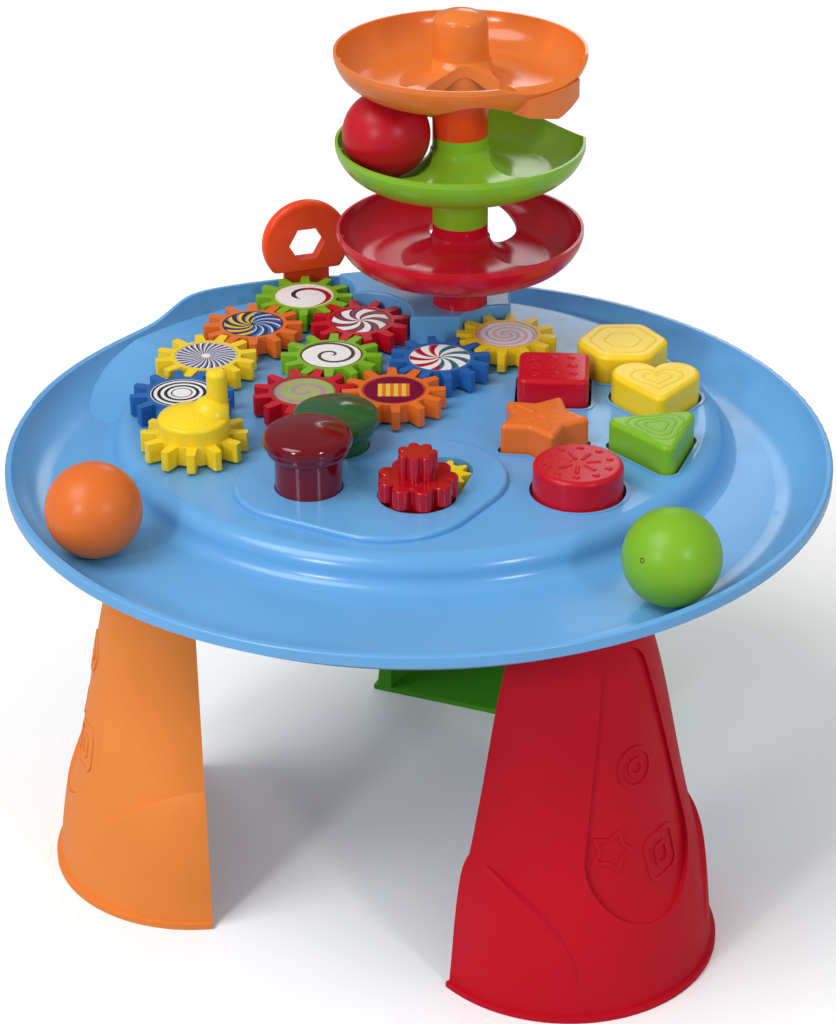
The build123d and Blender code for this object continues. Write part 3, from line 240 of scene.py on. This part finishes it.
MATERIALS = {
    "blue": moulded("blue_plastic_satin", BLUE, 0.22, 0.5),
    "orange": moulded("orange_plastic_satin", ORANGE, 0.28),
    "deep_orange": moulded("deep_orange_plastic", SPANNER_ORANGE, 0.26),
    "leg_orange": moulded("leg_orange_plastic", LEG_ORANGE, 0.46, 0.15),
    "red": moulded("red_plastic_satin", RED, 0.26, 0.28),
    "leg_red": moulded("leg_red_plastic", RED, 0.46, 0.12),
    "leg_green": moulded("leg_green_plastic", LEG_GREEN, 0.46, 0.15),
    "green": moulded("green_plastic_satin", GREEN, 0.28),
    "yellow": moulded("yellow_plastic_satin", YELLOW, 0.28),
    "gear_blue": moulded("gear_blue_plastic", GEAR_BLUE, 0.30),
    "dish_orange": moulded("dish_orange_plastic", DISH_ORANGE, 0.19, 0.42),
    "dish_red": moulded("dish_red_plastic", DISH_RED, 0.19, 0.36),
    "dish_green": moulded("dish_green_plastic", DISH_GREEN, 0.19, 0.42),
    "ball_orange": moulded("ball_orange_plastic", ORANGE, 0.34, 0.32),
    "ball_red": moulded("ball_red_plastic", RED, 0.34, 0.30),
    "ball_green": moulded("ball_green_plastic", GREEN, 0.34, 0.32),
    "white": moulded("white_plastic", PALE, 0.4),
    "peg_red": moulded("wine_red_plastic", PEG_RED, 0.12, 0.35, 0.35, 0.05),
    "knob_red": moulded("knob_red_plastic", KNOB_RED, 0.14, 0.28, 0.22, 0.05),
    "peg_green": moulded("dark_green_plastic", PEG_GREEN, 0.12, 0.35, 0.35, 0.05),
    # near black, painted shade for the vent holes on the balls
    "dark": moulded("vent_shadow_plastic", SHADOW, 0.6),
    "steel": steel("zinc_plated_steel"),
}


def paint_stem_shade(node_name, radius, height, colour):
    """Painted shade and painted red reflection on a dish's stem under its bowl: a redder colour within
    radius, up to height above the stem's foot.
    """
    tree = MATERIALS[node_name].node_tree
    base = tree.nodes["Principled BSDF"].inputs["Base Color"]
    bowl = base.links[0].from_socket
    _, _, reach, z = split_about(tree, coords(tree), box_middle("tower_cap"))
    near = maths(tree, "LESS_THAN", reach, radius)
    under = maths(tree, "LESS_THAN", z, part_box(node_name)[0][2] + height)
    tree.links.new(mix(tree, maths(tree, "MULTIPLY", near, under), bowl, colour), base)


# painted shade and red reflection on the orange dish's stem, under its bowl
paint_stem_shade("dish_orange", 0.0225, 0.036, STEM_SHADE_ORANGE)


# ---- printed discs

WHITE = (0.80, 0.79, 0.80)
BLACK = (0.02, 0.018, 0.025)
PINK = (0.78, 0.40, 0.44)
LILAC = (0.36, 0.33, 0.66)
MAROON = (0.17, 0.006, 0.035)
OLIVE = (0.33, 0.40, 0.13)
SKY = (0.045, 0.16, 0.50)
NAVY = (0.012, 0.03, 0.14)
GOLD = (0.80, 0.48, 0.05)
WINE = (0.38, 0.008, 0.03)
BROWN = (0.15, 0.06, 0.04)

# arms: how many times the bands repeat round the disc, and 0 gives rings.
# twist: turns of the bands from the middle to the edge; bend: how unevenly they turn.
# turn: where the bands start. stops: the bands; right: those of the right half.
# hub, border: share of the radius and colour. patch: half width and height, stripes, two colours.
PRINTS = {
    "disc_green_back": dict(
        arms=1, twist=1.24, bend=0.75, turn=0.836,
        stops=[(0.0, WHITE), (0.80, BLACK)],
        right=[(0.0, WHITE), (0.80, WINE)],
        hub=(0.26, WHITE), border=(0.93, (0.70, 0.70, 0.42)),
    ),
    "disc_orange_back": dict(
        arms=11, twist=2.2, turn=0.1,
        stops=[(0.0, BLACK), (0.45, GOLD), (0.80, (0.30, 0.30, 0.22))],
        right=[(0.0, NAVY), (0.40, SKY), (0.72, (0.62, 0.68, 0.76)), (0.9, (0.04, 0.20, 0.12))],
        hub=(0.08, BLACK), border=(0.95, NAVY),
    ),
    "disc_red_back": dict(
        arms=7, twist=1.0, bend=1.3,
        stops=[(0.0, WHITE), (0.50, BLACK), (0.66, WINE), (0.86, BLACK)],
        border=(0.93, WINE),
    ),
    "disc_yellow_left": dict(
        arms=27, twist=1.5,
        stops=[(0.0, WHITE), (0.30, (0.26, 0.24, 0.40)), (0.66, (0.03, 0.025, 0.06))],
        hub=(0.15, WHITE), border=(0.96, (0.62, 0.58, 0.50)),
    ),
    "disc_blue_left": dict(
        arms=0, twist=4.6, turn=0.42,
        stops=[(0.0, WHITE), (0.50, BLACK)],
        hub=(0.30, WHITE), border=(0.96, (0.55, 0.60, 0.80)),
    ),
    "disc_green_mid": dict(
        arms=1, twist=-1.7, bend=0.85, turn=0.15,
        stops=[(0.0, WHITE), (0.80, BROWN), (0.90, BLACK)],
        border=(0.95, (0.14, 0.07, 0.03)),
    ),
    "disc_red_mid": dict(
        arms=1, twist=1.9, turn=0.6,
        stops=[(0.0, OLIVE), (0.56, (0.45, 0.24, 0.26)), (0.78, (0.30, 0.26, 0.34)), (0.9, OLIVE)],
        border=(0.94, (0.22, 0.12, 0.05)),
    ),
    "disc_orange_mid": dict(
        arms=0, twist=0.5,
        stops=[(0.0, MAROON), (0.99, MAROON)],
        patch=(0.50, 0.46, 4.0, GOLD, (0.62, 0.17, 0.03)), border=(0.95, (0.42, 0.06, 0.05)),
    ),
    "disc_blue_right": dict(
        arms=9, twist=1.0, turn=0.3,
        stops=[(0.0, WHITE), (0.52, WINE), (0.88, (0.55, 0.14, 0.03))],
        right=[(0.0, WHITE), (0.55, (0.02, 0.13, 0.26)), (0.85, (0.04, 0.22, 0.08))],
        hub=(0.05, WINE), border=(0.97, (0.30, 0.36, 0.55)),
    ),
    "disc_yellow_right": dict(
        arms=1, twist=2.0, turn=0.15,
        stops=[(0.0, WHITE), (0.34, PINK), (0.55, WHITE), (0.86, LILAC)],
        border=(0.93, PINK),
    ),
}


def printed(node_name, arms, twist, stops, right=None, border=None, hub=None, patch=None, turn=0.0, bend=1.0):
    """Printed film: a spiral, pinwheel or set of rings about the disc's centre."""
    low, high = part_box(node_name)
    radius = (high[0] - low[0]) / 2
    material, tree, shader = new_material("print_" + node_name)
    vector = coords(tree)
    x, y, reach, _ = split_about(tree, vector, box_middle(node_name))
    share = maths(tree, "DIVIDE", reach, radius)
    angle = maths(tree, "DIVIDE", maths(tree, "ARCTAN2", y, x), TAU)
    turns = maths(tree, "MULTIPLY", maths(tree, "POWER", share, bend), twist)
    phase = maths(tree, "ADD", maths(tree, "MULTIPLY", angle, float(arms)), turns)
    phase = maths(tree, "FRACT", maths(tree, "ADD", phase, 10.0 + turn))
    colour = ramp(tree, phase, stops)
    if right:
        colour = mix(tree, maths(tree, "GREATER_THAN", x, 0.0), colour, ramp(tree, phase, right))
    if patch:
        half_x, half_y, count, one, two = patch
        across = maths(tree, "LESS_THAN", maths(tree, "ABSOLUTE", x), half_x * radius)
        along = maths(tree, "LESS_THAN", maths(tree, "ABSOLUTE", y), half_y * radius)
        inside = maths(tree, "MULTIPLY", across, along)
        stripe = maths(tree, "ADD", maths(tree, "MULTIPLY", x, count / radius), 10.0)
        bars = ramp(tree, maths(tree, "FRACT", stripe), [(0.0, one), (0.55, two)])
        colour = mix(tree, inside, colour, bars)
    if hub:
        colour = mix(tree, maths(tree, "LESS_THAN", share, hub[0]), colour, hub[1])
    if border:
        colour = mix(tree, maths(tree, "GREATER_THAN", share, border[0]), colour, border[1])
    tree.links.new(colour, shader.inputs["Base Color"])
    wear = remap(tree, noise(tree, vector, 120.0), 0.22, 0.34)
    tree.links.new(wear, shader.inputs["Roughness"])
    shader.inputs["Specular IOR Level"].default_value = 0.25
    return material


# ---- what each CAD node wears

LOOKS = {
    "tray_top": "blue",
    "underside_cover": "blue",
    "cover_screws": "steel",
    "leg_screws": "steel",
    "rocker_pin": "steel",
    "rocker_beam": "white",
    "sorter_box": "white",
    "tower_cap": "dish_orange",
    "gear_crank": "yellow",
    "gear_blue_left": "gear_blue",
    "gear_blue_right": "gear_blue",
    "crank_handle": "yellow",
    "knob_gear": "yellow",
    "spanner": "deep_orange",
}


def look_of(name):
    """A node's own look, or the plain plastic of the colour in its name."""
    if name in LOOKS:
        return LOOKS[name]
    if name in MATERIALS:
        return name
    return next(word for word in ("orange", "red", "green", "yellow") if word in name.split("_"))


for name, obj in nodes.items():
    obj.data.materials.clear()
    if name in PRINTS:
        obj.data.materials.append(printed(name, **PRINTS[name]))
    else:
        obj.data.materials.append(MATERIALS[look_of(name)])


# ---- low reliefs moulded on the blocks, and the balls' vents

RELIEF = 0.0006
SINK = 0.0002
ARCH_STEPS = 6
BUTTON_SIDES = 20
BUTTON_LEVELS = (0.35, 0.7, 0.92, 1.0)
STAR_TURN = math.radians(-8.0)
TRIANGLE_TURN = math.radians(40.0)
HEART_SCALE = 0.00175
VENT_RADIUS = 0.0013
VENT_SINK = 0.00012


def add_arch(bm, points, closed, half, height):
    """Low rounded rib along a flat run of points."""
    count = len(points)
    rows = []
    for index in range(count):
        here = Vector(points[index])
        before = Vector(points[index - 1]) if closed or index else here
        after = Vector(points[(index + 1) % count]) if closed or index < count - 1 else here
        along = (after - before).normalized()
        side = Vector((-along.y, along.x, 0.0))
        row = []
        for step in range(ARCH_STEPS + 1):
            turn = math.pi * step / ARCH_STEPS
            lift = Vector((0.0, 0.0, height * math.sin(turn)))
            row.append(bm.verts.new(here + side * half * math.cos(turn) + lift))
        rows.append(row)
    for index in range(count if closed else count - 1):
        one, two = rows[index], rows[(index + 1) % count]
        for step in range(ARCH_STEPS):
            bm.faces.new((one[step], two[step], two[step + 1], one[step + 1]))
    if not closed:
        bm.faces.new(rows[0])
        bm.faces.new(rows[-1][::-1])


def add_button(bm, centre, radius, height):
    """Low dome on a flat face."""
    centre = Vector(centre)
    top = bm.verts.new(centre + Vector((0.0, 0.0, height)))
    rings = []
    for level in BUTTON_LEVELS:
        z = height * math.sqrt(max(0.0, 1.0 - level * level))
        ring = []
        for step in range(BUTTON_SIDES):
            angle = TAU * step / BUTTON_SIDES
            offset = Vector((radius * level * math.cos(angle), radius * level * math.sin(angle), z))
            ring.append(bm.verts.new(centre + offset))
        rings.append(ring)
    for step in range(BUTTON_SIDES):
        bm.faces.new((top, rings[0][step], rings[0][(step + 1) % BUTTON_SIDES]))
    for inner, outer in zip(rings, rings[1:]):
        for step in range(BUTTON_SIDES):
            after = (step + 1) % BUTTON_SIDES
            bm.faces.new((inner[step], outer[step], outer[after], inner[after]))


def finish_piece(name, bm, body, look):
    bmesh.ops.recalc_face_normals(bm, faces=bm.faces)
    mesh = bpy.data.meshes.new(name)
    bm.to_mesh(mesh)
    bm.free()
    for polygon in mesh.polygons:
        polygon.use_smooth = True
    mesh.set_sharp_from_angle(angle=math.radians(50))
    mesh.materials.append(MATERIALS[look])
    piece = link_object(name, mesh)
    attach(piece, body)


def ring_points(centre, radius, count, turn=0.0, wave=0.0, lobes=1):
    """Points round a circle, or round one whose radius swells towards its lobes."""
    points = []
    for step in range(count):
        angle = turn + TAU * step / count
        reach = radius * (1.0 + wave * math.cos(lobes * (angle - turn)))
        points.append((centre[0] + reach * math.cos(angle), centre[1] + reach * math.sin(angle), centre[2]))
    return points


def draw_circle(bm, c):
    for place in ring_points(c, 0.0205, 10, 0.2):
        add_button(bm, place, 0.0027, 1.6 * RELIEF)
    for near, far in zip(ring_points(c, 0.005, 7, 0.1), ring_points(c, 0.0145, 7, 0.1)):
        add_arch(bm, [near, far], False, 0.0016, 1.4 * RELIEF)


def draw_square(bm, c):
    pitch = 0.0125
    for row in (-1, 0, 1):
        for column in (-1, 0, 1):
            place = (c[0] + pitch * column, c[1] + pitch * row, c[2])
            add_button(bm, place, 0.0042 if (row + column) % 2 else 0.0030, 1.6 * RELIEF)


def draw_star(bm, c):
    for near, far in zip(ring_points(c, 0.006, 5, STAR_TURN), ring_points(c, 0.021, 5, STAR_TURN)):
        add_arch(bm, [near, far], False, 0.0018, 1.4 * RELIEF)
    add_button(bm, c, 0.0035, 1.4 * RELIEF)


def draw_triangle(bm, c):
    for reach in (0.0070, 0.0120, 0.0170):
        add_arch(bm, ring_points(c, reach, 48, TRIANGLE_TURN, 0.18, 3), True, 0.0012, RELIEF)


def draw_hexagon(bm, c):
    for reach, count in ((0.0215, 60), (0.0120, 48)):
        add_arch(bm, ring_points(c, reach, count, 0.0, 0.05, 6), True, 0.0010, 0.8 * RELIEF)


def draw_heart(bm, c):
    for size in (0.62, 0.34):
        points = []
        for step in range(48):
            t = TAU * step / 48
            x = 16.0 * math.sin(t) ** 3
            y = 13.0 * math.cos(t) - 5.0 * math.cos(2 * t) - 2.0 * math.cos(3 * t) - math.cos(4 * t)
            points.append((c[0] + x * size * HEART_SCALE, c[1] + 0.002 + y * size * HEART_SCALE, c[2]))
        add_arch(bm, points, True, 0.0011, 0.9 * RELIEF)


# Block, look, relief, and the way from the middle of the block's box to the middle of its top
RELIEFS = (
    ("block_circle_red", "red", draw_circle, (0.0, 0.0)),
    ("block_square_red", "red", draw_square, (0.0, 0.0)),
    ("block_star_orange", "orange", draw_star, (-0.0015, 0.0012)),
    ("block_triangle_green", "green", draw_triangle, (0.0023, 0.0044)),
    ("block_hexagon_yellow", "yellow", draw_hexagon, (0.0, 0.0)),
    ("block_heart_yellow", "yellow", draw_heart, (0.0, 0.0)),
)

for node, look, draw, (off_x, off_y) in RELIEFS:
    x, y = box_middle(node)
    bm = bmesh.new()
    draw(bm, (x + off_x, y + off_y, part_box(node)[1][2] - SINK))
    finish_piece("relief_" + node, bm, node, look)


def vent(ball, direction):
    """Small ring where the blown ball was closed, coloured near black as painted shade in its vent hole."""
    low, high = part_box(ball)
    centre = Vector([(low[i] + high[i]) / 2 for i in range(3)])
    outward = Vector(direction).normalized()
    radius = (high[0] - low[0]) / 2
    bm = bmesh.new()
    add_arch(bm, ring_points((0.0, 0.0, 0.0), VENT_RADIUS, 24), True, 0.0004, 0.00015)
    turn = outward.to_track_quat("Z", "Y").to_matrix().to_4x4()
    place = Matrix.Translation(centre + outward * (radius - VENT_SINK))
    bmesh.ops.transform(bm, matrix=place @ turn, verts=bm.verts)
    finish_piece("vent_" + ball, bm, ball, "dark")


vent("ball_green", (-0.62, -0.66, 0.30))
vent("ball_red", (0.10, -0.62, 0.70))
vent("ball_orange", (0.55, 0.55, 0.60))


# ---- floor, backdrop, lights and camera

FLOOR_HALF = 9.0
FLOOR_DROP = 0.0003
FLOOR_GREY = (0.55, 0.55, 0.55)
PURE_WHITE = (1.0, 1.0, 1.0)
ROOM = 0.56
ROOM_GLOSS = 0.22


def lamp_object(name, data, place, target):
    lamp = link_object(name, data)
    lamp.location = place
    lamp.rotation_euler = (Vector(target) - Vector(place)).to_track_quat("-Z", "Y").to_euler()


def round_light(name, place, target, size, power):
    data = bpy.data.lights.new(name, "AREA")
    data.energy = power
    data.shape = "DISK"
    data.size = size
    lamp_object(name, data, place, target)


def sun_light(name, place, strength, spread_deg):
    data = bpy.data.lights.new(name, "SUN")
    data.energy = strength
    data.angle = math.radians(spread_deg)
    lamp_object(name, data, place, (0.0, 0.0, 0.0))


def make_floor():
    """Floor that the camera sees white, and that throws a duller light on the object."""
    mesh = bpy.data.meshes.new("floor")
    bm = bmesh.new()
    bmesh.ops.create_grid(bm, x_segments=2, y_segments=2, size=FLOOR_HALF)
    bm.to_mesh(mesh)
    bm.free()
    floor = link_object("floor", mesh)
    floor.location.z = -FLOOR_DROP
    material, tree, shader = new_material("pale_floor")
    seen = tree.nodes.new("ShaderNodeLightPath").outputs["Is Camera Ray"]
    tree.links.new(mix(tree, seen, FLOOR_GREY, PURE_WHITE), shader.inputs["Base Color"])
    shader.inputs["Roughness"].default_value = 0.9
    shader.inputs["Specular IOR Level"].default_value = 0.0
    mesh.materials.append(material)


def make_backdrop():
    """White to the camera, a soft room to the object, and a dimmer one in its gloss."""
    world = bpy.data.worlds.new("studio")
    bpy.context.scene.world = world
    world.use_nodes = True
    tree = world.node_tree
    tree.nodes.clear()
    out = tree.nodes.new("ShaderNodeOutputWorld")
    backdrop = tree.nodes.new("ShaderNodeBackground")
    backdrop.inputs["Color"].default_value = (*PURE_WHITE, 1.0)
    rays = tree.nodes.new("ShaderNodeLightPath").outputs
    seen = maths(tree, "MAXIMUM", rays["Is Camera Ray"], rays["Is Transmission Ray"])
    dimmed = maths(tree, "MULTIPLY", rays["Is Glossy Ray"], ROOM - ROOM_GLOSS)
    strength = maths(tree, "MAXIMUM", seen, maths(tree, "SUBTRACT", ROOM, dimmed))
    tree.links.new(strength, backdrop.inputs["Strength"])
    tree.links.new(backdrop.outputs[0], out.inputs[0])


make_floor()
make_backdrop()
sun_light("sky_panel", (-0.75, -0.40, 1.25), 1.50, 34.0)
round_light("front_left", (-1.1, -1.5, 1.15), (0.0, 0.0, 0.3), 0.30, 8.5)
round_light("front_right", (1.0, -1.5, 1.25), (0.0, 0.0, 0.3), 0.24, 6.0)
round_light("back_panel", (0.30, 2.5, 1.36), (0.0, 0.1, 0.3), 0.7, 3.0)
make_camera()

bpy.context.scene.view_settings.view_transform = "Standard"
